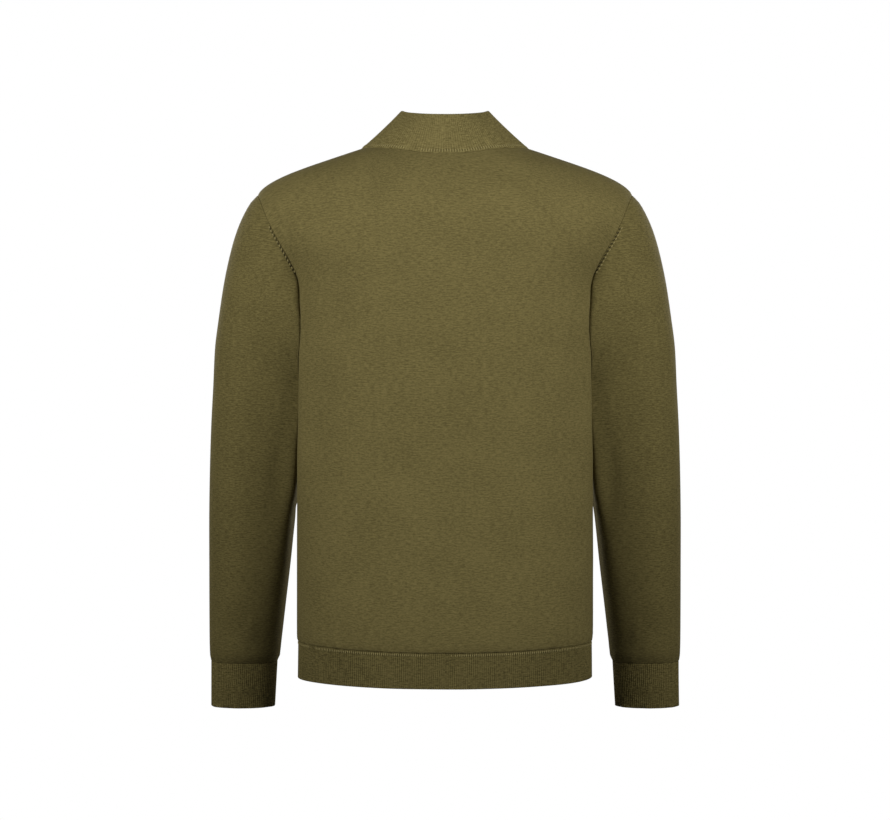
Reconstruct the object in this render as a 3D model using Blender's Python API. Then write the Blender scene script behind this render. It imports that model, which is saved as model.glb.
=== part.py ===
"""Fine-gauge knitted turtleneck sweater with a stand-up ribbed collar, filled out as when worn.

Metres, +Z up. The origin is the middle of the neck, level with the high points of the
shoulders. The front faces -Y, the back +Y, and the wearer's left side is +X.

Every piece is one closed wall of cloth. The back and front are grids of points that run from
the hem seam up to the shoulder and neck seams. A sleeve is a tube of rings that fans round
the underarm, from the armhole seam to the cuff seam. The collar, cuffs and hem band are
ribbed tubes: their outer points carry the ribs, and their inner points are plain.
"""

import bmesh
import bpy
import numpy as np

# ---- driving dimensions ----------------------------------------------------------------
SEAM_GAP = 0.0003  # between two pieces at a seam
JERSEY_WALL = 0.0020  # plain knit of the body and sleeves
RIB_WALL = 0.0022  # ribbed hem and cuffs, without the ribs
COLLAR_WALL = 0.0030  # the collar is knitted double
RIB_HEIGHT = 0.0005
HEM_RIBS = 368  # a rib every 2.7 mm
CUFF_RIBS = 90
COLLAR_RIBS = 180

HEM_BOTTOM = -0.6880
HEM_SEAM = -0.6410
UNDERARM = -0.2350
SHOULDER_POINT = (0.2431, -0.0605)  # x, z of the outer end of the shoulder seam
CUFF_SEAM = -0.6785
CUFF_BOTTOM = -0.7400

NECK_HALF_WIDTH = 0.1090
NECK_BACK_DEPTH = 0.0780
NECK_FRONT_DEPTH = 0.0880
RIM_HALF_WIDTH = 0.0560
RIM_BACK_DEPTH = 0.0545
RIM_FRONT_DEPTH = 0.0780

SECTION_POWER = 2.3  # squareness of the body's level sections, where 2 is an ellipse
SHOULDER_POWER = 2.2  # squareness of the roll over the shoulder

BODY_ROWS = (HEM_SEAM, -0.6340, -0.6150, -0.5400, -0.4500, -0.3600, -0.2900)  # grid rows
ARMHOLE_STEPS = 14  # grid steps up each side of the armhole
SHOULDER_STEPS = 7  # grid steps along a shoulder seam
NECK_STEPS = 6  # grid steps along half of a neck edge
INNER_SHARE = {"hem": 8, "cuff": 6, "collar": 6}  # outer points to each inner point

BACK, FRONT = 1, -1
LEFT, RIGHT = 1, -1


# ---- tables of sizes, read as smooth curves ----------------------------------------------
def table(columns, *rows):
    """A dictionary with one array for each named column."""
    return dict(zip(columns.split(), np.array(rows, dtype=float).T))


def read(sizes, column, places, by="height"):
    """Values of a column at places, on a smooth curve that never passes beyond its points."""
    order = np.argsort(sizes[by])
    x, y = sizes[by][order], sizes[column][order]
    step = np.diff(x)
    slope = np.diff(y) / step
    product = slope[:-1] * slope[1:]
    total = np.where(product > 0, slope[:-1] + slope[1:], 1.0)
    inner = np.where(product > 0, 2 * product / total, 0.0)
    tangent = np.concatenate(([slope[0]], inner, [slope[-1]]))
    places = np.clip(places, x[0], x[-1])
    left = np.clip(np.searchsorted(x, places, side="right") - 1, 0, len(step) - 1)
    t = (places - x[left]) / step[left]
    return (
        y[left] * (1 + 2 * t) * (1 - t) ** 2
        + tangent[left] * step[left] * t * (1 - t) ** 2
        + y[left + 1] * t * t * (3 - 2 * t)
        + tangent[left + 1] * step[left] * t * t * (t - 1)
    )


# Half width and depths of the body below the underarm, puffed a little over the hem band.
BODY = table(
    "height half_width back_depth front_depth",
    (-0.6410, 0.1900, 0.1070, 0.1085),
    (-0.6340, 0.1917, 0.1090, 0.1108),
    (-0.6150, 0.1922, 0.1095, 0.1115),
    (-0.5200, 0.1922, 0.1060, 0.1115),
    (-0.4300, 0.1917, 0.1045, 0.1130),
    (-0.3500, 0.1896, 0.1085, 0.1185),
    (-0.2850, 0.1886, 0.1130, 0.1225),
    (-0.2350, 0.1880, 0.1160, 0.1240),
    (-0.1400, 0.1880, 0.1185, 0.1230),
    (-0.0605, 0.1880, 0.1180, 0.1180),
)

# The armhole seam: how far out it lies on the back and the front, and the half width that the
# body's section would reach there if the sleeve didn't take over.
ARMHOLE = table(
    "height back_x front_x section",
    (-0.0605, 0.2431, 0.2431, 0.2500),
    (-0.0728, 0.2366, 0.2358, 0.2517),
    (-0.0858, 0.2314, 0.2295, 0.2512),
    (-0.1079, 0.2210, 0.2170, 0.2417),
    (-0.1313, 0.2080, 0.2020, 0.2275),
    (-0.1547, 0.1955, 0.1900, 0.2090),
    (-0.1700, 0.1896, 0.1868, 0.1985),
    (-0.1900, 0.1880, 0.1864, 0.1915),
    (-0.2150, 0.1876, 0.1870, 0.1886),
    (-0.2350, 0.1880, 0.1880, 0.1880),
)

# The shoulder line, continued under the collar, and how far down from it the back and the
# front keep rounding before they reach their full depth.
SHOULDER = table(
    "x height back_round front_round",
    (0.0000, 0.0225, 0.1750, 0.2520),
    (0.0500, 0.0175, 0.1700, 0.2420),
    (0.1090, -0.0010, 0.1500, 0.1950),
    (0.1261, -0.0066, 0.1420, 0.1780),
    (0.1495, -0.0144, 0.1340, 0.1600),
    (0.1820, -0.0255, 0.1240, 0.1400),
    (0.2080, -0.0356, 0.1160, 0.1280),
    (0.2275, -0.0455, 0.1110, 0.1210),
    (0.2399, -0.0553, 0.1100, 0.1200),
    (0.2431, -0.0605, 0.1100, 0.1200),
)

# Rings of the left sleeve, from the armhole to the cuff seam: the outer and the inner point of
# each, its half depth, the place of its middle, which swings forward down the arm, and the
# powers that square off its outer and its inner side, where 2 is an ellipse: beside the body
# the inner side is flattened. The share says how much of the armhole's own outline is left.
SLEEVE = table(
    "outer_x outer_z inner_x inner_z half_depth middle_y outer_power inner_power share",
    (0.2431, -0.0605, 0.1880, -0.2350, 0.0610, -0.0040, 2.00, 2.00, 1.00),
    (0.2522, -0.0692, 0.1886, -0.2385, 0.0622, -0.0068, 2.00, 2.30, 0.78),
    (0.2617, -0.0845, 0.1887, -0.2430, 0.0632, -0.0095, 2.00, 2.80, 0.50),
    (0.2705, -0.1035, 0.1889, -0.2485, 0.0635, -0.0125, 2.00, 3.60, 0.28),
    (0.2787, -0.1285, 0.1891, -0.2550, 0.0630, -0.0165, 2.05, 5.00, 0.12),
    (0.2885, -0.1705, 0.1894, -0.2640, 0.0615, -0.0210, 2.10, 7.00, 0.04),
    (0.2967, -0.2196, 0.1898, -0.2748, 0.0600, -0.0280, 2.15, 9.00, 0.00),
    (0.3023, -0.2596, 0.1902, -0.2878, 0.0588, -0.0345, 2.20, 11.0, 0.00),
    (0.3053, -0.3058, 0.1905, -0.3058, 0.0575, -0.0425, 2.20, 13.0, 0.00),
    (0.3093, -0.3602, 0.1913, -0.3602, 0.0560, -0.0535, 2.20, 13.0, 0.00),
    (0.3126, -0.4211, 0.1936, -0.4211, 0.0545, -0.0670, 2.20, 9.00, 0.00),
    (0.3151, -0.4844, 0.2020, -0.4844, 0.0525, -0.0820, 2.20, 5.00, 0.00),
    (0.3166, -0.5471, 0.2087, -0.5471, 0.0500, -0.0960, 2.15, 3.30, 0.00),
    (0.3177, -0.6060, 0.2158, -0.6060, 0.0470, -0.1070, 2.10, 2.50, 0.00),
    (0.3182, -0.6526, 0.2214, -0.6526, 0.0435, -0.1140, 2.05, 2.15, 0.00),
    (0.3179, -0.6682, 0.2233, -0.6682, 0.0415, -0.1155, 2.00, 2.05, 0.00),
    (0.3158, -0.6785, 0.2272, -0.6785, 0.0365, -0.1165, 2.00, 2.00, 0.00),
)

CUFF = table(
    "height outer_x inner_x half_depth middle_y",
    (CUFF_SEAM, 0.3158, 0.2272, 0.0365, -0.1165),
    (CUFF_BOTTOM, 0.3166, 0.2310, 0.0320, -0.1220),
)

HEM = table(
    "height half_width back_depth front_depth",
    (HEM_BOTTOM, 0.1905, 0.1075, 0.1090),
    (HEM_SEAM, 0.1900, 0.1070, 0.1085),
)

# Height of the collar's rim from the middle of the back, where the way round is 0, over the
# side, at 0.5, to the middle of the front, at 1.
RIM = table(
    "way_round height",
    (0.00, 0.0377),
    (0.20, 0.0425),
    (0.50, 0.0486),
    (0.80, 0.0290),
    (1.00, 0.0160),
)


# ---- the body's form ----------------------------------------------------------------------
def squared(value):
    """A sine or cosine pushed out, which squares an ellipse off to the body's section."""
    return np.sign(value) * np.abs(value) ** (2 / SECTION_POWER)


def squared_turn(turn, outer_power, inner_power):
    """Cosine and sine of a turn, pushed out from a circle to one squared off by these powers
    on its outer and its inner side."""
    power = np.where(np.cos(turn) > 0, outer_power, inner_power)
    reach = (np.abs(np.cos(turn)) ** power + np.abs(np.sin(turn)) ** power) ** (1 / power)
    return np.cos(turn) / reach, np.sin(turn) / reach


def section_depth(x, half_width):
    """Share of the full depth that a level section of the body keeps at x."""
    inside = 1 - np.minimum(np.abs(x) / half_width, 1) ** SECTION_POWER
    return inside ** (1 / SECTION_POWER)


def roll(drop, length):
    """Share of the full depth at a drop below the shoulder line."""
    rest = 1 - np.clip(drop / length, 0, 1)
    return (1 - rest**SHOULDER_POWER) ** (1 / SHOULDER_POWER)


def drop_for(share, length):
    """The drop at which the roll over the shoulder has reached this share."""
    return length * (1 - (1 - share**SHOULDER_POWER) ** (1 / SHOULDER_POWER))


def named(side, word):
    return ("back_" if side == BACK else "front_") + word


def neck_depth(side):
    return NECK_BACK_DEPTH if side == BACK else NECK_FRONT_DEPTH


def top_height(side, x):
    """Height of a panel's top edge, the shoulder seam and then the neck seam, at x."""
    shoulder = read(SHOULDER, "height", np.abs(x), by="x")
    inside = np.clip(1 - (x / NECK_HALF_WIDTH) ** 2, 0, 1)
    depth = read(BODY, named(side, "depth"), SHOULDER_POINT[1])
    half_width = ARMHOLE["section"][0]
    share = neck_depth(side) * np.sqrt(inside) / (depth * section_depth(x, half_width))
    return shoulder - drop_for(share, read(SHOULDER, named(side, "round"), np.abs(x), by="x"))


def panel_grid(side):
    """Points of the back's or the front's outer surface: rows go up, columns from +X to -X."""
    half = SECTION_POWER / 2
    neck_x = NECK_HALF_WIDTH * np.cos(np.linspace(0, np.pi / 2, NECK_STEPS + 1))
    shoulder_x = np.linspace(SHOULDER_POINT[0], NECK_HALF_WIDTH, SHOULDER_STEPS + 1)[:-1]
    half_top = np.concatenate((shoulder_x, neck_x[:-1], (0,)))
    top_x = np.concatenate((half_top, -half_top[-2::-1]))
    top_z = top_height(side, top_x)
    top_angles = np.arccos(np.sign(top_x) * (np.abs(top_x) / ARMHOLE["section"][0]) ** half)
    shares = (top_angles - top_angles[0]) / (np.pi - 2 * top_angles[0])

    rows = []
    for height in BODY_ROWS:
        angles = np.pi * shares
        half_width = read(BODY, "half_width", height)
        x = half_width * squared(np.cos(angles))
        y = read(BODY, named(side, "depth"), height) * squared(np.sin(angles))
        rows.append(np.column_stack((x, side * y, np.full_like(x, height))))

    for step in range(ARMHOLE_STEPS + 1):
        rise = (1 - np.cos(np.pi * step / ARMHOLE_STEPS)) / 2
        seam_z = UNDERARM + (SHOULDER_POINT[1] - UNDERARM) * rise
        section = read(ARMHOLE, "section", seam_z)
        seam_x = read(ARMHOLE, named(side, "x"), seam_z)
        first = np.arccos(np.minimum(seam_x / section, 1) ** half)
        angles = first + (np.pi - 2 * first) * shares
        x = section * squared(np.cos(angles))
        z = UNDERARM + (top_z - UNDERARM) * rise
        shoulder = read(SHOULDER, "height", np.abs(x), by="x")
        rounding = read(SHOULDER, named(side, "round"), np.abs(x), by="x")
        depth = read(BODY, named(side, "depth"), seam_z) * squared(np.sin(angles))
        rows.append(np.column_stack((x, side * depth * roll(shoulder - z, rounding), z)))
    return np.array(rows)


def grid_normals(points, closed):
    """Unit normals of a grid of points. A closed grid runs round in its second direction."""
    if closed:
        across = np.roll(points, -1, axis=1) - np.roll(points, 1, axis=1)
    else:
        across = np.gradient(points, axis=1)
    normals = np.cross(across, np.gradient(points, axis=0))
    return normals / np.linalg.norm(normals, axis=2, keepdims=True)


def level(vectors, axis):
    """Unit vectors with no part along this axis."""
    vectors = vectors.copy()
    vectors[..., axis] = 0
    return vectors / np.linalg.norm(vectors, axis=-1, keepdims=True)


def body_panel(side):
    """Outer points and normals of the back or the front, held half a gap back at its seams."""
    points = panel_grid(side)
    normals = side * grid_normals(points, closed=False)
    side_seam = slice(0, len(BODY_ROWS) + 1)
    for column in (0, -1):
        normals[side_seam, column] = level(normals[side_seam, column], 1)
        points[side_seam, column, 1] += side * SEAM_GAP / 2
    for shoulder_seam in (slice(0, SHOULDER_STEPS + 1), slice(-SHOULDER_STEPS - 1, None)):
        normals[-1, shoulder_seam] = level(normals[-1, shoulder_seam], 1)
    points[-1, :, 1] += side * SEAM_GAP / 2
    points[0, :, 2] += SEAM_GAP / 2
    normals[0] = level(normals[0], 2)
    return points, normals


# ---- sleeves, cuffs, hem band and collar ----------------------------------------------------
def armhole(panels):
    """The armhole's points and normals on the +X side, from the shoulder down the back, round
    the underarm and up the front."""
    up = slice(len(BODY_ROWS), None)
    back, back_normals = (values[up, 0][::-1] for values in panels[BACK])
    front, front_normals = (values[up, 0][1:-1] for values in panels[FRONT])
    loop = np.concatenate((back, front))
    loop[0, 1] = loop[ARMHOLE_STEPS, 1] = 0
    return loop, np.concatenate((back_normals, front_normals))


SHARED_TO_TURN = 0.4  # cosine of the turn round the armhole up to which the walls are in line


def sleeve_wall(panels):
    """Outer and inner points of the left sleeve."""
    loop, loop_normals = armhole(panels)
    turn = np.pi * np.arange(2 * ARMHOLE_STEPS) / ARMHOLE_STEPS
    rings = []
    for row in zip(*SLEEVE.values()):
        outer_x, outer_z, inner_x, inner_z, half_depth, middle_y, outer, inner, share = row
        across, depth = squared_turn(turn, outer, inner)
        ring = np.column_stack(
            (
                (outer_x + inner_x) / 2 + (outer_x - inner_x) / 2 * across,
                middle_y + half_depth * depth,
                (outer_z + inner_z) / 2 + (outer_z - inner_z) / 2 * across,
            )
        )
        if not rings:
            plain_loop = ring
        rings.append(ring + share * (loop - plain_loop))
    rings = np.array(rings)
    normals = -grid_normals(rings, closed=True)

    # Next to the seam the sleeve's wall follows the body's, except under the arm, where the
    # two fold away from each other.
    own = np.clip(SHARED_TO_TURN - np.cos(turn), 0, 1)[:, None]
    blended = (1 - own) * loop_normals + own * normals[0]
    normals[0] = blended / np.linalg.norm(blended, axis=1, keepdims=True)
    normals[-1] = level(normals[-1], 2)
    rings[0] += SEAM_GAP * armhole_direction()
    rings[-1, :, 2] += SEAM_GAP / 2
    return rings, rings - JERSEY_WALL * normals


def armhole_direction():
    """Unit vector square to the armhole, pointing out of the body."""
    down = np.array((SHOULDER_POINT[0] - ARMHOLE["back_x"][-1], SHOULDER_POINT[1] - UNDERARM))
    down /= np.linalg.norm(down)
    return np.array((down[1], 0, -down[0]))


def evenly(ring, count):
    """Points at equal steps round a closed ring of points, from its first one."""
    looped = np.vstack((ring, ring[:1]))
    length = np.concatenate(([0], np.cumsum(np.linalg.norm(np.diff(looped, axis=0), axis=1))))
    steps = np.arange(count) * length[-1] / count
    return np.column_stack([np.interp(steps, length, looped[:, axis]) for axis in range(3)])


FINE_RING = 1440  # points of a ring before it is divided into ribs


def ribbed_wall(rings, ribs, inner_share, wall, level_rows=True):
    """Outer points with a rib raised at every second one, and plain inner points."""
    grid = np.array([evenly(ring, 2 * ribs) for ring in rings])
    normals = grid_normals(grid, closed=True)
    if level_rows:
        normals = level(normals, 2)
    outer = grid.copy()
    outer[:, ::2] += RIB_HEIGHT * normals[:, ::2]
    return outer, (grid - wall * normals)[:, ::inner_share]


def body_ring(sizes, height, z):
    """A level ring of the body or the hem band, from the middle of the back round to it."""
    angle = np.pi / 2 - 2 * np.pi * np.arange(FINE_RING) / FINE_RING
    depth = np.where(
        np.sin(angle) > 0,
        read(sizes, "back_depth", height),
        read(sizes, "front_depth", height),
    )
    x = read(sizes, "half_width", height) * squared(np.cos(angle))
    y = depth * squared(np.sin(angle))
    return np.column_stack((x, y, np.full_like(x, z)))


def hem_wall():
    rings = (
        body_ring(HEM, HEM_SEAM, HEM_SEAM - SEAM_GAP / 2),
        body_ring(HEM, HEM_BOTTOM, HEM_BOTTOM),
    )
    return ribbed_wall(rings, HEM_RIBS, INNER_SHARE["hem"], RIB_WALL)


def cuff_ring(height, z):
    outer_x, inner_x, half_depth, middle_y = (
        read(CUFF, column, height) for column in ("outer_x", "inner_x", "half_depth", "middle_y")
    )
    turn = np.pi / 2 - 2 * np.pi * np.arange(FINE_RING) / FINE_RING
    x = (outer_x + inner_x) / 2 + (outer_x - inner_x) / 2 * np.cos(turn)
    return np.column_stack((x, middle_y + half_depth * np.sin(turn), np.full_like(x, z)))


def cuff_wall():
    rings = (
        cuff_ring(CUFF_SEAM, CUFF_SEAM - SEAM_GAP / 2),
        cuff_ring(CUFF_BOTTOM, CUFF_BOTTOM),
    )
    return ribbed_wall(rings, CUFF_RIBS, INNER_SHARE["cuff"], RIB_WALL)


COLLAR_SEAM_GAP = 0.0005  # the collar's base lies this far inside the neck edge
COLLAR_LIFT = 0.0003
COLLAR_HOLLOW = 0.0012  # how far the collar's side curves in, half way up


def neck_edge(panels):
    """The neck edges of the back and the front as one ring, from the middle of the back."""
    back = panels[BACK][0][-1, SHOULDER_STEPS:-SHOULDER_STEPS]
    front = panels[FRONT][0][-1, SHOULDER_STEPS:-SHOULDER_STEPS]
    return np.concatenate((back[NECK_STEPS::-1], front, back[:NECK_STEPS:-1]))


def collar_wall(panels):
    base = evenly(neck_edge(panels), FINE_RING)
    outward = level(base, 2)
    base += COLLAR_LIFT * np.array((0, 0, 1)) - COLLAR_SEAM_GAP * outward

    angle = np.pi / 2 - 2 * np.pi * np.arange(FINE_RING) / FINE_RING
    rim_depth = np.where(np.sin(angle) > 0, RIM_BACK_DEPTH, RIM_FRONT_DEPTH)
    rim_height = read(RIM, "height", (1 - np.sin(angle)) / 2, by="way_round")
    rim = evenly(
        np.column_stack((RIM_HALF_WIDTH * np.cos(angle), rim_depth * np.sin(angle), rim_height)),
        FINE_RING,
    )
    rings = [
        base + (rim - base) * up - COLLAR_HOLLOW * 4 * up * (1 - up) * outward
        for up in (1.0, 0.5, 0.0)
    ]
    return ribbed_wall(rings, COLLAR_RIBS, INNER_SHARE["collar"], COLLAR_WALL, level_rows=False)


# ---- solids ---------------------------------------------------------------------------------
def add_solid(name, points, faces, material):
    """A closed mesh object with its faces pointing out."""
    shape = bmesh.new()
    corners = [shape.verts.new(point) for point in points]
    for face in faces:
        shape.faces.new([corners[index] for index in face])
    bmesh.ops.triangulate(shape, faces=shape.faces)
    bmesh.ops.recalc_face_normals(shape, faces=shape.faces)
    mesh = bpy.data.meshes.new(name)
    shape.to_mesh(mesh)
    shape.free()
    mesh.materials.append(material)
    mesh.shade_smooth()
    mesh.set_sharp_from_angle(angle=np.radians(50))
    piece = bpy.data.objects.new(name, mesh)
    bpy.context.scene.collection.objects.link(piece)
    return piece


def add_panel(name, points, normals, material):
    """A sheet with four free edges, given its wall."""
    rows, columns = points.shape[:2]
    inner = points - JERSEY_WALL * normals
    count = rows * columns

    def index(row, column, layer=0):
        return layer * count + row * columns + column

    faces = []
    for row in range(rows - 1):
        for column in range(columns - 1):
            square = ((row, column), (row, column + 1), (row + 1, column + 1), (row + 1, column))
            faces.append([index(*corner) for corner in square])
            faces.append([index(*corner, layer=1) for corner in reversed(square)])
    border = [(0, column) for column in range(columns)]
    border += [(row, columns - 1) for row in range(1, rows)]
    border += [(rows - 1, column) for column in range(columns - 2, -1, -1)]
    border += [(row, 0) for row in range(rows - 2, 0, -1)]
    for here, following in zip(border, border[1:] + border[:1]):
        faces.append([index(*following), index(*here), index(*here, 1), index(*following, 1)])
    flat = np.vstack((points.reshape(-1, 3), inner.reshape(-1, 3)))
    return add_solid(name, flat, faces, material)


def add_tube(name, outer, inner, material, mirror):
    """A tube open at both ends. Its inner rings may have fewer points than its outer rings."""
    many, few = outer.shape[1], inner.shape[1]
    share = many // few
    start = outer.shape[0] * many
    faces = []

    def ring_faces(first, count, rows):
        for row in range(rows - 1):
            for place in range(count):
                after = (place + 1) % count
                here, above = first + row * count, first + (row + 1) * count
                faces.append([here + place, here + after, above + after, above + place])

    ring_faces(0, many, outer.shape[0])
    ring_faces(start, few, inner.shape[0])
    for outer_row, inner_row in ((0, 0), (outer.shape[0] - 1, inner.shape[0] - 1)):
        for place in range(few):
            near = start + inner_row * few + place
            far = start + inner_row * few + (place + 1) % few
            edge = [
                outer_row * many + (place * share + step) % many for step in range(share + 1)
            ]
            faces += [[near, edge[step], edge[step + 1]] for step in range(share)]
            faces.append([near, edge[-1], far])
    points = np.vstack((outer.reshape(-1, 3), inner.reshape(-1, 3))) * (mirror, 1, 1)
    return add_solid(name, points, faces, material)


def knit(name, color, roughness):
    """A plain wool material."""
    material = bpy.data.materials.new(name)
    material.use_nodes = True
    shader = material.node_tree.nodes["Principled BSDF"]
    shader.inputs["Base Color"].default_value = (*color, 1)
    shader.inputs["Roughness"].default_value = roughness
    shader.inputs["Metallic"].default_value = 0
    return material


def build():
    for leftover in list(bpy.data.objects):
        bpy.data.objects.remove(leftover, do_unlink=True)
    body_knit = knit("body_knit", (0.145, 0.120, 0.046), 0.90)
    sleeve_knit = knit("sleeve_knit", (0.135, 0.112, 0.043), 0.90)
    band_rib = knit("band_rib", (0.110, 0.091, 0.036), 0.92)
    collar_rib = knit("collar_rib", (0.140, 0.118, 0.047), 0.92)

    panels = {side: body_panel(side) for side in (BACK, FRONT)}
    add_panel("back", *panels[BACK], body_knit)
    add_panel("front", *panels[FRONT], body_knit)
    for mirror, word in ((LEFT, "left"), (RIGHT, "right")):
        add_tube(f"sleeve_{word}", *sleeve_wall(panels), sleeve_knit, mirror)
        add_tube(f"cuff_{word}", *cuff_wall(), band_rib, mirror)
    add_tube("hem_band", *hem_wall(), band_rib, 1)
    add_tube("collar", *collar_wall(panels), collar_rib, 1)


build()
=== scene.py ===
"""Looks of a fine-gauge knitted turtleneck sweater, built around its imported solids.

Metres, in the frame of the solids: +Z up, the front faces -Y, the back +Y, and the wearer's
left side is +X. Each piece of cloth is a fine closed shell on the form of its solid, with
rolled seam edges, soft folds, rounded ribs and a procedural knit. The sewing is separate:
ridges inside the seams, the ribs' first stitches and the fashioning marks by the armholes.
"""

import bmesh
import bpy
import numpy as np
from mathutils import Matrix


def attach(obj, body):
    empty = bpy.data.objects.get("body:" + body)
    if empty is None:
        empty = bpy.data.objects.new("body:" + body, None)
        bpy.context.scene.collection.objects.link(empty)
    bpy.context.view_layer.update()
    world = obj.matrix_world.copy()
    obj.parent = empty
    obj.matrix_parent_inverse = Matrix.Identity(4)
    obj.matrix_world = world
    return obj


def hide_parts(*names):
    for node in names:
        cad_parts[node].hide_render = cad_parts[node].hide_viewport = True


# ---- sizes of the solids ----
SEAM_GAP = 0.0003
JERSEY_WALL = 0.0020
RIB_WALL = 0.0022
COLLAR_WALL = 0.0030
RIB_HEIGHT = 0.0005
HEM_RIBS = 368
CUFF_RIBS = 90
COLLAR_RIBS = 180

HEM_BOTTOM = -0.6880
HEM_SEAM = -0.6410
UNDERARM = -0.2350
SHOULDER_POINT = (0.2431, -0.0605)  # x, z of the outer end of the shoulder seam
CUFF_SEAM = -0.6785
CUFF_BOTTOM = -0.7400

NECK_HALF_WIDTH = 0.1090
NECK_BACK_DEPTH = 0.0780
NECK_FRONT_DEPTH = 0.0880
RIM_HALF_WIDTH = 0.0560
RIM_BACK_DEPTH = 0.0545
RIM_FRONT_DEPTH = 0.0780
COLLAR_SEAM_GAP = 0.0005
COLLAR_LIFT = 0.0003
COLLAR_HOLLOW = 0.0012
COLLAR_LENGTH = 0.0560  # up the cloth from its seam to its rim
RIM_ROUNDING = 0.0008  # by which the rolled rim stands higher than a cut one would

SECTION_POWER = 2.3  # squareness of the body's level sections, where 2 is an ellipse
SHOULDER_POWER = 2.2  # squareness of the roll over the shoulder

BACK, FRONT = 1, -1
LEFT, RIGHT = 1, -1

# ---- fineness of the shells ----
EDGE_STEPS = (0.0, 0.00015, 0.0004, 0.0008, 0.0015, 0.0030)  # rows next to a seam
SEAM_ROLL = 0.0006  # radius by which a seam edge rolls in
BODY_STEP = 0.0055  # between two rows of the body
YOKE_ROWS = 46  # rows above the underarm
SIDE_COLUMNS = 70  # columns from the side seam to the end of the neck
NECK_COLUMNS = 40  # columns along half of a neck edge
PANEL_ARC = 0.50  # width of the back or the front along the cloth
SLEEVE_STEP = 0.0050
SLEEVE_COLUMNS = 144
RIB_POINTS = 6  # points round each rib
RIB_PITCH = 0.0027  # of a rib on the flat cloth
BAND_STEP = 0.0040  # between two rows of a ribbed band
FINE_RING = 1440
DENSE_ROWS = 500  # rows of the yoke before it is spaced evenly
DENSE_POWER = 4.4  # by which they crowd at its top edge, where it is steepest


# ---- tables of sizes, read as smooth curves ----
NOT_LENGTHS = ("slant", "turn", "outer_power", "inner_power", "share", "way_round")


def table(columns, *rows):
    """A dictionary with one array for each named column. The lengths in the rows are in
    millimetres, and the others are plain numbers or degrees."""
    parts = zip(columns.split(), np.array(rows, dtype=float).T)
    return {name: part if name in NOT_LENGTHS else (part / 1000).round(7) for name, part in parts}


def read(sizes, column, places, by="height"):
    """Values of a column at places, on a smooth curve that never passes beyond its points."""
    order = np.argsort(sizes[by])
    x, y = sizes[by][order], sizes[column][order]
    step = np.diff(x)
    slope = np.diff(y) / step
    product = slope[:-1] * slope[1:]
    total = np.where(product > 0, slope[:-1] + slope[1:], 1.0)
    inner = np.where(product > 0, 2 * product / total, 0.0)
    tangent = np.concatenate(([slope[0]], inner, [slope[-1]]))
    places = np.clip(places, x[0], x[-1])
    left = np.clip(np.searchsorted(x, places, side="right") - 1, 0, len(step) - 1)
    t = (places - x[left]) / step[left]
    return (
        y[left] * (1 + 2 * t) * (1 - t) ** 2
        + tangent[left] * step[left] * t * (1 - t) ** 2
        + y[left + 1] * t * t * (3 - 2 * t)
        + tangent[left + 1] * step[left] * t * t * (t - 1)
    )


def partway(distance, length):
    """How far along a length a distance is, from 0 at its start to 1 from its end on."""
    return np.clip(distance / length, 0, 1)


def bell(distance, width):
    """1 at no distance, sinking softly to 0 on both sides."""
    return np.exp(-((distance / width) ** 2))


BODY = table(
    "height half_width back_depth front_depth",
    (-641, 190, 107, 108.5),
    (-634, 191.7, 109, 110.8),
    (-615, 192.2, 109.5, 111.5),
    (-520, 192.2, 106, 111.5),
    (-430, 191.7, 104.5, 113),
    (-350, 189.6, 108.5, 118.5),
    (-285, 188.6, 113, 122.5),
    (-235, 188, 116, 124),
    (-140, 188, 118.5, 123),
    (-60.5, 188, 118, 118),
)

# The armhole seam: how far out it lies on the back and the front, and the half width that the
# body's section would reach there if the sleeve didn't take over.
ARMHOLE = table(
    "height back_x front_x section",
    (-60.5, 243.1, 243.1, 250),
    (-72.8, 236.6, 235.8, 251.7),
    (-85.8, 231.4, 229.5, 251.2),
    (-107.9, 221, 217, 241.7),
    (-131.3, 208, 202, 227.5),
    (-154.7, 195.5, 190, 209),
    (-170, 189.6, 186.8, 198.5),
    (-190, 188, 186.4, 191.5),
    (-215, 187.6, 187, 188.6),
    (-235, 188, 188, 188),
)

# The shoulder line, continued under the collar, and how far down from it the cloth rounds.
SHOULDER = table(
    "x height back_round front_round",
    (0, 22.5, 175, 252),
    (50, 17.5, 170, 242),
    (109, -1, 150, 195),
    (126.1, -6.6, 142, 178),
    (149.5, -14.4, 134, 160),
    (182, -25.5, 124, 140),
    (208, -35.6, 116, 128),
    (227.5, -45.5, 111, 121),
    (239.9, -55.3, 110, 120),
    (243.1, -60.5, 110, 120),
)

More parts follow.
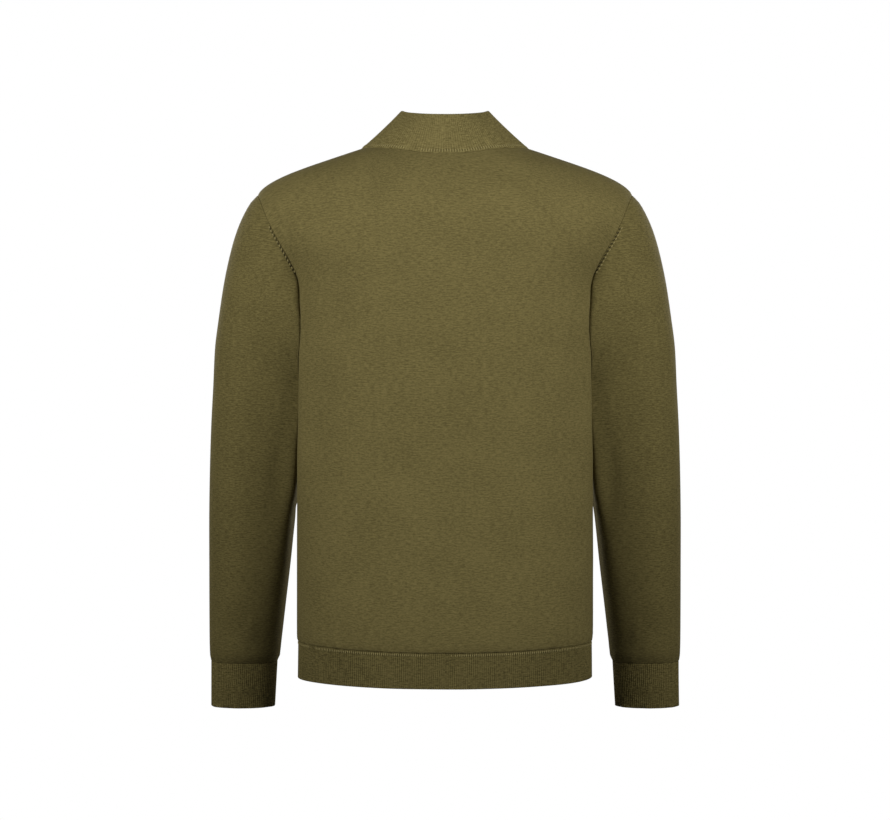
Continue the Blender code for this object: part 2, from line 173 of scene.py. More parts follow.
# Rings of the left sleeve, from the armhole to the cuff seam, by the length down the sleeve.
SLEEVE = table(
    "outer_x outer_z inner_x inner_z half_depth middle_y outer_power inner_power share",
    (243.1, -60.5, 188, -235, 61, -4, 2, 2, 1),
    (252.2, -69.2, 188.6, -238.5, 62.2, -6.8, 2, 2.3, 0.78),
    (261.7, -84.5, 188.7, -243, 63.2, -9.5, 2, 2.8, 0.5),
    (270.5, -103.5, 188.9, -248.5, 63.5, -12.5, 2, 3.6, 0.28),
    (278.7, -128.5, 189.1, -255, 63, -16.5, 2.05, 5, 0.12),
    (288.5, -170.5, 189.4, -264, 61.5, -21, 2.1, 7, 0.04),
    (296.7, -219.6, 189.8, -274.8, 60, -28, 2.15, 9, 0),
    (302.3, -259.6, 190.2, -287.8, 58.8, -34.5, 2.2, 11, 0),
    (305.3, -305.8, 190.5, -305.8, 57.5, -42.5, 2.2, 13, 0),
    (309.3, -360.2, 191.3, -360.2, 56, -53.5, 2.2, 13, 0),
    (312.6, -421.1, 193.6, -421.1, 54.5, -67, 2.2, 9, 0),
    (315.1, -484.4, 202, -484.4, 52.5, -82, 2.2, 5, 0),
    (316.6, -547.1, 208.7, -547.1, 50, -96, 2.15, 3.3, 0),
    (317.7, -606, 215.8, -606, 47, -107, 2.1, 2.5, 0),
    (318.2, -652.6, 221.4, -652.6, 43.5, -114, 2.05, 2.15, 0),
    (317.9, -668.2, 223.3, -668.2, 41.5, -115.5, 2, 2.05, 0),
    (315.8, -678.5, 227.2, -678.5, 36.5, -116.5, 2, 2, 0),
)

CUFF = table(
    "outer_x inner_x half_depth middle_y",
    (315.8, 227.2, 36.5, -116.5),
    (316.6, 231, 32, -122),
)
CUFF["height"] = np.array((CUFF_SEAM, CUFF_BOTTOM))

HEM = table(
    "half_width back_depth front_depth",
    (190.5, 107.5, 109),
    (190, 107, 108.5),
)
HEM["height"] = np.array((HEM_BOTTOM, HEM_SEAM))

# Height of the collar's rim from the middle of the back, at 0, round to the front, at 1.
RIM = table(
    "way_round height",
    (0, 37.7),
    (0.2, 42.5),
    (0.5, 48.6),
    (0.8, 29),
    (1, 16),
)

# Soft folds of the back and the front: x and z of the middle, length, width, the slant from
# the vertical, in degrees towards +X at the top, and the height, where a trough is below 0.
BACK_FOLDS = table(
    "x z length width slant height",
    (-150, -505, 150, 11, 24, -2.2),
    (-164, -490, 160, 13, 22, 1.2),
    (-127, -270, 190, 16, 2, -1.6),
    (-96, -430, 150, 18, -3, -1.2),
    (56, -390, 170, 16, 3, -1.4),
    (150, -540, 190, 14, -20, 1.8),
    (128, -560, 150, 15, -17, -1.2),
    (168, -200, 180, 13, -2, 2.2),
    (133, -215, 150, 14, -6, -1.4),
    (-170, -190, 150, 12, 3, 1.6),
    (20, -265, 120, 13, 66, -0.8),
    (-30, -590, 90, 18, 8, -0.9),
    (80, -110, 90, 20, 40, -0.8),
)
FRONT_FOLDS = table(
    "x z length width slant height",
    (142, -515, 170, 12, -23, -2.4),
    (160, -505, 150, 12, -22, 1.4),
    (-148, -530, 150, 13, 19, -1.9),
    (-128, -360, 200, 17, 3, -1.8),
    (118, -330, 170, 15, -4, -1.4),
    (30, -460, 190, 19, 2, -1.6),
    (-55, -520, 130, 17, -5, -1.2),
    (156, -160, 120, 11, -30, -2),
    (-158, -165, 130, 12, 27, -2.2),
    (140, -145, 110, 12, -34, 1.2),
    (-70, -125, 80, 13, 52, -1),
    (62, -135, 70, 12, -48, -1),
)

# Soft folds of the sleeves, by the turn round the sleeve in degrees, from its outer line
# over the back, and the height above the origin.
LEFT_SLEEVE_FOLDS = table(
    "turn z length width slant height",
    (118, -150, 150, 13, 6, -3),
    (96, -190, 120, 13, 14, 1),
    (80, -135, 110, 12, -12, -1.2),
    (132, -405, 150, 10, -6, 1.6),
    (112, -425, 170, 12, -3, -1.6),
    (60, -520, 140, 14, 5, -1),
    (100, -630, 50, 7, 12, 1.4),
    (72, -635, 45, 6, -8, -1),
    (235, -175, 140, 13, -16, -3),
    (262, -230, 130, 14, -20, 1.4),
    (225, -350, 90, 11, 62, -1.8),
    (250, -420, 100, 12, 56, -2),
    (215, -470, 90, 11, -58, -1.5),
    (290, -560, 130, 13, 10, -1.2),
    (330, -330, 160, 16, 4, -1.2),
)
RIGHT_SLEEVE_FOLDS = table(
    "turn z length width slant height",
    (126, -170, 130, 10, 3, -2.2),
    (104, -165, 130, 10, 8, 1.6),
    (84, -155, 120, 11, 10, -2.2),
    (138, -435, 180, 9, -4, 2.2),
    (116, -440, 200, 11, -3, -2.4),
    (66, -350, 120, 14, -5, -1),
    (104, -632, 50, 7, -10, 1.4),
    (76, -638, 45, 6, 8, -0.9),
    (240, -185, 150, 13, 18, -2.8),
    (268, -210, 120, 14, 22, 1.4),
    (230, -370, 90, 11, -60, -1.9),
    (252, -440, 100, 12, -52, -1.8),
    (300, -530, 150, 13, -8, -1.2),
    (325, -300, 150, 16, -4, -1.2),
)


# ---- the body's form ----
def squared(value):
    """A sine or cosine pushed out, which squares an ellipse off to the body's section."""
    return np.sign(value) * np.abs(value) ** (2 / SECTION_POWER)


def squared_turn(turn, outer_power, inner_power):
    """Cosine and sine of a turn, pushed out from a circle to one squared off by these powers
    on its outer and its inner side."""
    power = np.where(np.cos(turn) > 0, outer_power, inner_power)
    reach = (np.abs(np.cos(turn)) ** power + np.abs(np.sin(turn)) ** power) ** (1 / power)
    return np.cos(turn) / reach, np.sin(turn) / reach


def section_depth(x, half_width):
    """Share of the full depth that a level section of the body keeps at x."""
    inside = 1 - np.minimum(np.abs(x) / half_width, 1) ** SECTION_POWER
    return inside ** (1 / SECTION_POWER)


def roll(drop, length):
    """Share of the full depth at a drop below the shoulder line."""
    rest = 1 - partway(drop, length)
    return (1 - rest**SHOULDER_POWER) ** (1 / SHOULDER_POWER)


def drop_for(share, length):
    """The drop at which the roll over the shoulder has reached this share."""
    return length * (1 - (1 - share**SHOULDER_POWER) ** (1 / SHOULDER_POWER))


def named(side, word):
    return ("back_" if side == BACK else "front_") + word


def by_side(at_back, sizes, word, places):
    """Values of a column that is stated for the back and for the front."""
    back, front = (read(sizes, named(side, word), places) for side in (BACK, FRONT))
    return np.where(at_back, back, front)


def top_height(side, x):
    """Height of a panel's top edge, the shoulder seam and then the neck seam, at x."""
    shoulder = read(SHOULDER, "height", np.abs(x), by="x")
    inside = np.clip(1 - (x / NECK_HALF_WIDTH) ** 2, 0, 1)
    depth = read(BODY, named(side, "depth"), SHOULDER_POINT[1])
    neck_depth = NECK_BACK_DEPTH if side == BACK else NECK_FRONT_DEPTH
    share = neck_depth * np.sqrt(inside) / (depth * section_depth(x, ARMHOLE["section"][0]))
    return shoulder - drop_for(share, read(SHOULDER, named(side, "round"), np.abs(x), by="x"))


def top_angles(x):
    """Where points of the top edge lie on its squared section."""
    share = (np.abs(x) / ARMHOLE["section"][0]) ** (SECTION_POWER / 2)
    return np.arccos(np.sign(x) * share)


FIRST_ANGLE = top_angles(np.array(SHOULDER_POINT[0]))
ANGLE_RANGE = np.pi - 2 * FIRST_ANGLE
CORNER_SHARE = (top_angles(np.array(NECK_HALF_WIDTH)) - FIRST_ANGLE) / ANGLE_RANGE


def panel_shares():
    """Places of the columns across a panel, from 0 at its +X edge to 1."""
    edge = np.array(EDGE_STEPS) / PANEL_ARC
    side = np.linspace(edge[-1], CORNER_SHARE, SIDE_COLUMNS + 1)
    neck_x = NECK_HALF_WIDTH * np.cos(np.linspace(0, np.pi / 2, NECK_COLUMNS + 1))
    neck = (top_angles(neck_x) - FIRST_ANGLE) / ANGLE_RANGE
    half = np.concatenate((edge[:-1], side[:-1], neck[:-1], (0.5,)))
    return np.concatenate((half, 1 - half[-2::-1]))


def level_rings(sizes, angles, heights):
    """Points of level sections of the body or the hem band, from +X over the back."""
    x = read(sizes, "half_width", heights) * squared(np.cos(angles))
    depth = by_side(np.sin(angles) > 0, sizes, "depth", heights)
    return np.stack(np.broadcast_arrays(x, depth * squared(np.sin(angles)), heights), axis=-1)


def torso(side, shares, heights):
    """Points of a panel below the underarm, a row for each height."""
    return level_rings(BODY, side * np.pi * shares, heights[:, None])


def yoke(side, shares, rises):
    """Points of a panel above the underarm. The rise is 0 there and 1 at the top edge."""
    rises = rises[:, None]
    top_x = ARMHOLE["section"][0] * squared(np.cos(FIRST_ANGLE + ANGLE_RANGE * shares))
    seam_z = UNDERARM + (SHOULDER_POINT[1] - UNDERARM) * rises
    section = read(ARMHOLE, "section", seam_z)
    seam_x = read(ARMHOLE, named(side, "x"), seam_z)
    first = np.arccos(np.minimum(seam_x / section, 1) ** (SECTION_POWER / 2))
    angles = first + (np.pi - 2 * first) * shares
    x = section * squared(np.cos(angles))
    z = UNDERARM + (top_height(side, top_x) - UNDERARM) * rises
    shoulder = read(SHOULDER, "height", np.abs(x), by="x")
    rounding = read(SHOULDER, named(side, "round"), np.abs(x), by="x")
    depth = read(BODY, named(side, "depth"), seam_z) * squared(np.sin(angles))
    return np.stack((x, side * depth * roll(shoulder - z, rounding), z), axis=-1)


# ---- grids of points ----
def length_along(points, axis):
    """Distance along the cloth from a grid's first row or column to each point."""
    steps = np.linalg.norm(np.diff(points, axis=axis), axis=-1)
    start = np.zeros_like(np.take(steps, [0], axis=axis))
    return np.concatenate((start, np.cumsum(steps, axis=axis)), axis=axis)


def on_path(places, lengths, values):
    """Values, such as points, at places along a path whose rows lie at these lengths."""
    return np.column_stack([np.interp(places, lengths, part) for part in values.T])


def at_lengths(grid, lengths, places):
    """A grid with its rows moved to places, each a length along its own column."""
    columns = zip(places.T, lengths.T, np.swapaxes(grid, 0, 1))
    return np.stack([on_path(*column) for column in columns], axis=1)


def turns(count):
    return 2 * np.pi * np.arange(count) / count


def grid_normals(points, closed):
    """Unit normals of a grid of points. A closed grid runs round in its second direction."""
    if closed:
        across = np.roll(points, -1, axis=1) - np.roll(points, 1, axis=1)
    else:
        across = np.gradient(points, axis=1)
    return unit(np.cross(across, np.gradient(points, axis=0)))


def unit(vectors):
    return vectors / np.linalg.norm(vectors, axis=-1, keepdims=True)


def level(vectors, axis):
    """Unit vectors with no part along this axis."""
    vectors = vectors.copy()
    vectors[..., axis] = 0
    return unit(vectors)


def rolled(distance):
    """How far the cloth's face sinks at a distance from its edge."""
    rest = 1 - partway(distance, SEAM_ROLL)
    return SEAM_ROLL * (1 - np.sqrt(1 - rest**2))


def soft_folds(folds, across, up, middles):
    """Height of all the folds of a table at places measured across and up the cloth."""
    height = np.zeros_like(across)
    for middle, z, length, width, slant, rise in zip(middles, *list(folds.values())[1:]):
        angle = np.radians(slant)
        side = (across - middle) * np.cos(angle) - (up - z) * np.sin(angle)
        along = (across - middle) * np.sin(angle) + (up - z) * np.cos(angle)
        taper = np.cos(np.pi / 2 * np.clip(2 * along / length, -1, 1)) ** 2
        height += rise * taper * bell(side, width)
    return height


GATHER_PITCH = 0.011  # between two puckers
GATHER_START = 0.004  # above the seam to where they are full


def gathers(around, above, seed, height, reach):
    """Small uneven puckers where cloth is drawn in to a ribbed band. Around is the length
    along the seam and above the distance from it."""
    chance = np.random.default_rng(seed)
    total = np.zeros_like(around)
    low, high = around.min(), around.max()
    for middle in np.arange(low, high, GATHER_PITCH):
        place = middle + chance.uniform(-0.4, 0.4) * GATHER_PITCH
        width = GATHER_PITCH * chance.uniform(0.22, 0.40)
        tall = reach * chance.uniform(0.45, 1.0)
        rise = height * chance.uniform(-0.6, 1.0)
        lean = chance.uniform(-0.25, 0.25)
        fade = partway(above, GATHER_START) * (1 - partway(above, tall)) ** 1.5
        total += rise * fade * bell(around - place - lean * above, width)
    return total


HANG_HALF_WIDTH = 0.1900  # where the share that the sides add is full
HANG_FROM = -0.5600  # height below which the cloth hangs lower in the middle than at its sides
SEAM_HANG = (-0.0026, 0.0064)  # rise of the hem's seam in the middle, and what its sides add
EDGE_HANG = (-0.0009, 0.0038)  # the same of the hem's free edge


def hang(points, below=0.0):
    """Points of the body or the hem band, moved up or down as the hem hangs. Below is the
    share of the way from the hem's seam to its free edge."""
    aside = (points[..., 0] / HANG_HALF_WIDTH) ** 2
    reach = partway(HANG_FROM - points[..., 2], HANG_FROM - HEM_SEAM)
    rises = [middle + sides * aside for middle, sides in (SEAM_HANG, EDGE_HANG)]
    moved = points.copy()
    moved[..., 2] += reach**2 * (rises[0] + (rises[1] - rises[0]) * below)
    return moved


# ---- back and front ----
TOP_STEPS = np.array(EDGE_STEPS[::-1])  # lengths below a panel's top edge
FOLD_EDGE = 0.02  # from a seam to where folds are full
HEM_OVERHANG = 0.0009  # by which cloth stands out where it is sewn to the hem band
OVERHANG_REACH = 0.006  # from the seam
SIDE_SWELL = 0.0045  # by which the body fills out beside the sleeves
SWELL_PLACE = 0.038  # of that, behind the body's side or in front of it
SWELL_WIDTH = 0.018
SWELL_EDGE = 0.010  # from the seam to where the swelling is full
SWELL_SPAN = (-0.150, -0.480, 0.050, 0.080)  # its top and bottom, and the soft part of each
SWELL_REACH = 1.15  # of the swelling along x, as it stands square to the rounded side


def between(z, top, bottom, soft_top, soft_bottom):
    """1 between two heights, falling to 0 over the soft part inside each of them."""
    return partway(top - z, soft_top) * partway(z - bottom, soft_bottom)


def side_swell(y, z, from_edge):
    """Height of the swelling down each side of the body, where the sleeves lie against it."""
    window = between(z, *SWELL_SPAN) * partway(from_edge, SWELL_EDGE)
    return SIDE_SWELL * window * bell(np.abs(y) - SWELL_PLACE, SWELL_WIDTH)


def body_reach(y, z):
    """How far out the body's side lies beside a sleeve, at places given by their y and z."""
    depth = by_side(y > 0, BODY, "depth", z)
    section = np.where(z > UNDERARM, read(ARMHOLE, "section", z), read(BODY, "half_width", z))
    seam_x = np.where(z > UNDERARM, by_side(y > 0, ARMHOLE, "x", z), section)
    seam_y = depth * section_depth(seam_x, section)
    swell = side_swell(y, z, np.abs(y) - seam_y)
    return section * section_depth(np.abs(y), depth) + SWELL_REACH * swell


def panel_rows(side, shares):
    """The plain points of the back or the front, spaced evenly between its seams."""
    edge = HEM_SEAM + SEAM_GAP / 2 + np.array(EDGE_STEPS)
    count = int(round((UNDERARM - edge[-1]) / BODY_STEP))
    heights = np.concatenate((edge[:-1], np.linspace(edge[-1], UNDERARM, count + 1)[:-1]))
    dense = yoke(side, shares, 1 - (1 - np.linspace(0, 1, DENSE_ROWS)) ** DENSE_POWER)
    lengths = length_along(dense, 0)
    total = lengths[-1]
    even = np.linspace(0, 1, YOKE_ROWS + 1)[:, None] * (total - 2 * TOP_STEPS[0])
    rows = at_lengths(dense, lengths, np.concatenate((even, total - TOP_STEPS[:, None])))
    return hang(np.concatenate((torso(side, shares, heights), rows)))


def panel_shell(side):
    """The back or the front: its outer and inner points, their places on the flat cloth, and
    the plain points and normals that its sewing follows."""
    points = panel_rows(side, panel_shares())
    normals = side * grid_normals(points, closed=False)
    normals[-1] = level(normals[-1], 1)
    points[-1, :, 1] += side * SEAM_GAP / 2
    for column in (0, -1):
        below = points[:, column, 2] < UNDERARM
        normals[below, column] = level(normals[below, column], 1)
        points[below, column, 1] += side * SEAM_GAP / 2
    normals[0] = level(normals[0], 2)

    along, up = length_along(points, 1), length_along(points, 0)
    from_side = np.minimum(along, along[:, -1:] - along)
    level_along = length_along(points[..., :2], 1)
    flat = np.stack((level_along, length_along(points[..., 1:], 0)), axis=-1)
    folds = BACK_FOLDS if side == BACK else FRONT_FOLDS
    x, y, z = np.moveaxis(points, -1, 0)
    height = soft_folds(folds, x, z, folds["x"])
    height *= np.sin(np.pi / 2 * partway(from_side, FOLD_EDGE))
    height += gathers(along, up, seed=5 + side, height=0.0011, reach=0.040)
    height += HEM_OVERHANG * bell(up, OVERHANG_REACH)
    height += side_swell(y, z, from_side)
    edges = (up, up[-1:] - up, along, along[:, -1:] - along)
    sunk = sum(rolled(distance) for distance in edges)
    outer = points + (height - sunk)[..., None] * normals
    inner = points + (height - JERSEY_WALL)[..., None] * normals
    return {"outer": outer, "inner": inner, "flat": flat, "points": points, "normals": normals}


def neck_edge(panels):
    """The neck edges of the back and the front as one ring, from the middle of the back."""
    start = len(EDGE_STEPS) - 1 + SIDE_COLUMNS
    back, front = (panels[side]["points"][-1, start:-start] for side in (BACK, FRONT))
    return np.concatenate((back[NECK_COLUMNS::-1], front, back[:NECK_COLUMNS:-1]))


# ---- sleeves ----
def armhole_direction():
    """Unit vector square to the armhole, pointing out of the body."""
    down = np.array((SHOULDER_POINT[0] - ARMHOLE["back_x"][-1], SHOULDER_POINT[1] - UNDERARM))
    down /= np.linalg.norm(down)
    return np.array((down[1], 0, -down[0]))


def armhole_loop(turn, panels):
    """The armhole's points and normals at turns from the shoulder down the back and round."""
    rise = (1 + np.cos(turn)) / 2
    loop, normals = np.empty((2, len(turn), 3))
    for side, part in ((BACK, turn <= np.pi), (FRONT, turn > np.pi)):
        loop[part] = yoke(side, np.zeros(1), rise[part])[:, 0]
        edge, edge_normals = (panels[side][name][:, 0] for name in ("points", "normals"))
        normals[part] = on_path(loop[part, 2], edge[:, 2], edge_normals)
    return loop, unit(normals)


SHARED_TO_TURN = 0.4  # cosine of the turn round the armhole up to which the walls are in line
SHARED_LENGTH = 0.012  # down the sleeve over which its wall leaves the body's direction
UNDERARM_SEAM_RADIUS = 0.045
CORNER_COLUMNS = np.radians(np.linspace(-9, 9, 31))  # finer ones at the squared inner corners
CREASE_SHARPNESS = 1.3  # by which cloth creases sharper at those corners than the solid
CUFF_OVERHANG = 0.0004
CUFF_FADE = 0.006  # above the cuff to where folds are full
CREASE_WIDTH = 0.040  # of the part of the sleeve's back and front that reaches to the body
CREASE_POWER = 2.8  # of how close it reaches
CREASE_GAP = 0.0005  # that stays between the sleeve and the body
GAP_LENGTH = 0.004  # down the sleeve to where that gap is full
CREASE_SPAN = (-0.150, -0.415, 0.025, 0.080)  # as for the body's swelling
PUFF = 0.0050  # by which the sleeve swells beside the low part of the armhole seam
PUFF_RISE = 0.0040  # down the sleeve from the seam, over which it swells most
PUFF_LENGTH = 0.0420  # down the sleeve, over which it sinks back
PUFF_SPAN = (-0.15, -0.84, 0.35, 0.30)  # as above, by the cosine of the turn round the sleeve
FOLDS_FROM_X = 0.1930  # above the height below, folds fade out towards the body from here
FOLDS_FULL_FROM = 0.0120  # further out than that
FOLDS_FREE_BELOW = -0.47


def sleeve_stations():
    """Length down the sleeve to each row of its table."""
    steps = [np.diff(SLEEVE["outer_" + axis] + SLEEVE["inner_" + axis]) / 2 for axis in "xz"]
    return np.concatenate(([0], np.cumsum(np.hypot(*steps))))


def leaned(points):
    """The sleeve's points with those beside the body moved towards it, so that the sleeve
    hangs against the body in one thin crease."""
    x, y, z = np.moveaxis(points, -1, 0)
    share = partway(x - body_reach(y, z), CREASE_WIDTH)
    moved = points.copy()
    moved[..., 0] -= between(z, *CREASE_SPAN) * CREASE_WIDTH * (share - share**CREASE_POWER)
    return moved


def off_body(points, down, wall):
    """The same points of a sleeve, none of them closer to the body than a small gap."""
    x, y, z = np.moveaxis(points, -1, 0)
    gap = (CREASE_GAP + wall) * partway(down, GAP_LENGTH)
    kept = np.maximum(x, body_reach(y, z) + gap)
    return np.stack((np.where((z < CREASE_SPAN[0]) & (down > 0), kept, x), y, z), axis=-1)


def sleeve_rows(total):
    """Lengths down the sleeve to its rows, which are closer at its two seams."""
    edge = np.array(EDGE_STEPS)
    count = int(round((total - 2 * edge[-1]) / SLEEVE_STEP))
    even = np.linspace(edge[-1], total - edge[-1], count + 1)
    return np.concatenate((edge[:-1], even, total - edge[-2::-1]))


def sleeve_turns():
    """Turns of the sleeve's columns, closer at the seam below and at the inner corners."""
    near_seam = np.array(EDGE_STEPS[1:-1]) / UNDERARM_SEAM_RADIUS
    corners = [middle * np.pi + CORNER_COLUMNS for middle in (0.75, 1.25)]
    parts = (turns(SLEEVE_COLUMNS), np.pi - near_seam, np.pi + near_seam, *corners)
    return np.unique(np.concatenate(parts).round(6))


def sleeve_rings(turn, panels):
    """The sleeve's plain points, a ring for each row, and their normals."""
    sizes = dict(SLEEVE, station=sleeve_stations())
    rows = sleeve_rows(sizes["station"][-1])

    def column(name):
        return read(sizes, name, rows, by="station")[:, None]

    def spanned(axis):
        outer, inner = column("outer_" + axis), column("inner_" + axis)
        return (outer + inner) / 2 + (outer - inner) / 2 * across

    inner_power = 2 * (column("inner_power") / 2) ** CREASE_SHARPNESS
    across, depth = squared_turn(turn, column("outer_power"), inner_power)
    y = column("middle_y") + column("half_depth") * depth
    rings = np.stack((spanned("x"), y, spanned("z")), axis=-1)
    loop, loop_normals = armhole_loop(turn, panels)
    rings += column("share")[..., None] * (loop - rings[0])
    rings[1:] = leaned(rings[1:])
    normals = -grid_normals(rings, closed=True)
    own = np.clip(SHARED_TO_TURN - np.cos(turn), 0, 1)[:, None]
    shared = unit((1 - own) * loop_normals + own * normals[0])
    leaving = 1 - partway(rows, SHARED_LENGTH)[:, None, None]
    normals = unit(normals + leaving * (shared - normals))
    normals[-1] = level(normals[-1], 2)
    rings += leaving * SEAM_GAP * armhole_direction()
    rings[-1, :, 2] += SEAM_GAP / 2
    return rings, normals


def puff(down, turn):
    """Height of the swelling beside the low part of the armhole seam."""
    swelling = (1 - np.exp(-down / PUFF_RISE)) * bell(down, PUFF_LENGTH)
    return PUFF * swelling * between(np.cos(turn), *PUFF_SPAN)


def sleeve_shell(panels, folds, seed):
    """The left sleeve, or the right one mirrored to the left."""
    turn = sleeve_turns()
    rings, normals = sleeve_rings(turn, panels)
    down = length_along(rings, 0)
    above_cuff = down[-1:] - down
    looped = np.concatenate((rings, rings[:, :1]), axis=1)
    around = length_along(looped, 1)
    opposite = np.argmin(np.abs(turn - np.pi))
    from_outer = around[:, :-1]
    seam_distance = np.abs(from_outer - from_outer[:, [opposite]])
    level_down = length_along(looped[..., 1:], 0)
    flat = np.stack((around, level_down[-1:] - level_down), axis=-1)

    x, z = rings[..., 0], rings[..., 2]
    middles = folds["turn"] / 360 * np.interp(-folds["z"], -z[:, opposite], around[:, -1])
    height = soft_folds(folds, from_outer, z, middles)
    from_body = partway(x - FOLDS_FROM_X, FOLDS_FULL_FROM)
    height = np.where(z > FOLDS_FREE_BELOW, height * from_body, height)
    height *= partway(down, FOLD_EDGE) * partway(above_cuff, CUFF_FADE)
    height += gathers(from_outer, above_cuff, seed=seed, height=0.0012, reach=0.030)
    height += puff(down, turn)
    height += CUFF_OVERHANG * bell(above_cuff, OVERHANG_REACH)
    sunk = rolled(down) + rolled(above_cuff) + rolled(seam_distance)
    outer = off_body(rings + (height - sunk)[..., None] * normals, down, 0)
    inner = off_body(rings + (height - JERSEY_WALL)[..., None] * normals, down, JERSEY_WALL)
    shell = {"outer": outer, "inner": inner, "flat": flat, "points": rings, "normals": normals}
    return {**shell, "opposite": opposite}


# ---- ribbed hem band, cuffs and collar ----
def evenly(ring, count):
    """Points at equal steps round a closed ring of points, from its first one."""
    looped = np.vstack((ring, ring[:1]))
    lengths = length_along(looped, 0)
    return on_path(np.arange(count) * lengths[-1] / count, lengths, looped)


def rib_heights(count):
    """Height of the rounded ribs at points round a band: full at a rib's top, 0 between two."""
    turn = 2 * np.pi * np.arange(count) / RIB_POINTS  # once round for each rib
    return RIB_HEIGHT * (1 - np.abs(np.sin(turn / 2)) ** 3)


EDGE_POINTS = 6  # steps round the folded or cast-on free edge


def edge_waves(turn, seed):
    """Uneven waves round a band at these turns."""
    chance = np.random.default_rng(seed)
    return sum(
        chance.uniform(0.4, 1.0) * np.sin(number * turn + chance.uniform(0, 2 * np.pi))
        for number in (5, 8, 13)
    )


def round_edge(outer, inner, normals, onward, radius):
    """The faces of a band, joined at its free edge by a half round."""
    middle = (outer[-1] + inner[-1]) / 2 - radius * onward
    angles = np.linspace(0, np.pi, EDGE_POINTS + 1)[:, None, None]
    rows = middle + radius * (np.cos(angles) * normals + np.sin(angles) * onward)
    outer = np.concatenate((outer[:-1], rows[: EDGE_POINTS // 2 + 1]))
    return outer, np.concatenate((inner[:-1], rows[: EDGE_POINTS // 2 : -1]))


def ribbed_shell(ring_at, length, ribs, wall, level_rows=True, seed=0, wave=0.0):
    """A ribbed tube of even thickness from its seam to its rolled free edge. The function
    ring_at gives the ring at a share of the way from the seam to the edge."""
    edge = np.array(EDGE_STEPS)
    reach = length - wall / 2
    even = np.linspace(edge[-1], reach, int(round((reach - edge[-1]) / BAND_STEP)) + 1)
    distances = np.concatenate((edge[:-1], even, (length,)))
    count = ribs * RIB_POINTS
    points = np.array([evenly(ring_at(distance / length), count) for distance in distances])
    normals = grid_normals(points, closed=True)
    if level_rows:
        normals = level(normals, 2)
    if np.sum(normals[0] * (points[0] - points[0].mean(axis=0))) < 0:
        normals = -normals

    waves = edge_waves(turns(count), seed)
    offset = wave * waves * (distances / length)[:, None] ** 2 + rib_heights(count)
    outer = points + (offset - rolled(distances)[:, None])[..., None] * normals
    inner = points + (offset - wall)[..., None] * normals
    outer, inner = round_edge(outer, inner, normals[-1], unit(points[-1] - points[-2]), wall / 2)
    around = np.arange(count + 1) * RIB_PITCH / RIB_POINTS
    flat, inner_flat = (
        np.stack(np.broadcast_arrays(around, -length_along(rows, 0)[:, [0]]), axis=-1)
        for rows in (outer, inner)
    )
    shell = {"outer": outer, "inner": inner, "points": points, "normals": normals}
    return {**shell, "flat": flat, "inner_flat": inner_flat}


def band_angles():
    """Angles round a ring, from the middle of the back."""
    return np.pi / 2 - turns(FINE_RING)


def hem_ring(share):
    """A ring of the hem band, from the middle of the back round to it."""
    top = HEM_SEAM - SEAM_GAP / 2
    rings = level_rings(HEM, band_angles(), top + (HEM_BOTTOM - top) * share)
    return hang(rings, below=share)


def cuff_ring(share):
    top = CUFF_SEAM - SEAM_GAP / 2
    z = top + (CUFF_BOTTOM - top) * share
    outer_x, inner_x, half_depth, middle_y = (
        read(CUFF, column, z) for column in ("outer_x", "inner_x", "half_depth", "middle_y")
    )
    angle = band_angles()
    x = (outer_x + inner_x) / 2 + (outer_x - inner_x) / 2 * np.cos(angle)
    return np.column_stack((x, middle_y + half_depth * np.sin(angle), np.full_like(x, z)))


def collar_rings(panels):
    """A function that gives the collar's ring at a share of the way up to its rim."""
    base = evenly(neck_edge(panels), FINE_RING)
    outward = level(base, 2)
    base += COLLAR_LIFT * np.array((0, 0, 1)) - COLLAR_SEAM_GAP * outward
    angle = band_angles()
    rim_depth = np.where(np.sin(angle) > 0, RIM_BACK_DEPTH, RIM_FRONT_DEPTH)
    rim_height = read(RIM, "height", (1 - np.sin(angle)) / 2, by="way_round") + RIM_ROUNDING
    rim = evenly(
        np.column_stack((RIM_HALF_WIDTH * np.cos(angle), rim_depth * np.sin(angle), rim_height)),
        FINE_RING,
    )

    def ring_at(share):
        hollow = COLLAR_HOLLOW * 4 * share * (1 - share)
        return base + (rim - base) * share - hollow * outward

    return ring_at


# ---- meshes ----
UV_NAME = "knit"  # the flat cloth in metres


def add_object(name, data):
    made = bpy.data.objects.new(name, data)
    bpy.context.scene.collection.objects.link(made)
    return made


def mesh_piece(name, points, faces, flat, material, mirror=1):
    """A mesh object. Flat holds the place on the cloth of each corner of each face."""
    mesh = bpy.data.meshes.new(name)
    mesh.from_pydata((points * (mirror, 1, 1)).tolist(), [], faces.tolist())
    layer = mesh.uv_layers.new(name=UV_NAME)
    layer.data.foreach_set("uv", np.ascontiguousarray(flat, dtype=np.float32).ravel())
    mesh.materials.append(material)
    mesh.shade_smooth()
    shape = bmesh.new()
    shape.from_mesh(mesh)
    bmesh.ops.holes_fill(shape, edges=shape.edges)  # the small ends of ridges and stitches
    bmesh.ops.recalc_face_normals(shape, faces=shape.faces)
    shape.to_mesh(mesh)
    shape.free()
    mesh.set_sharp_from_angle(angle=np.radians(70))
    return add_object(name, mesh)


def grid_faces(rows, columns, round_rows, round_columns):
    """The faces of a grid, and the row and column of each of their four corners."""
    row, column = np.meshgrid(
        np.arange(rows if round_rows else rows - 1),
        np.arange(columns if round_columns else columns - 1),
        indexing="ij",
    )
    row, column = row.ravel(), column.ravel()
    corners = ((row, column), (row, column + 1), (row + 1, column + 1), (row + 1, column))
    faces = np.column_stack([down % rows * columns + along % columns for down, along in corners])
    return faces, corners


def at_corners(flat, corners):
    """Places on the cloth of the corners of a grid's faces."""
    rows, columns = flat.shape[:2]
    return np.stack([flat[down % rows, along % columns] for down, along in corners], axis=1)


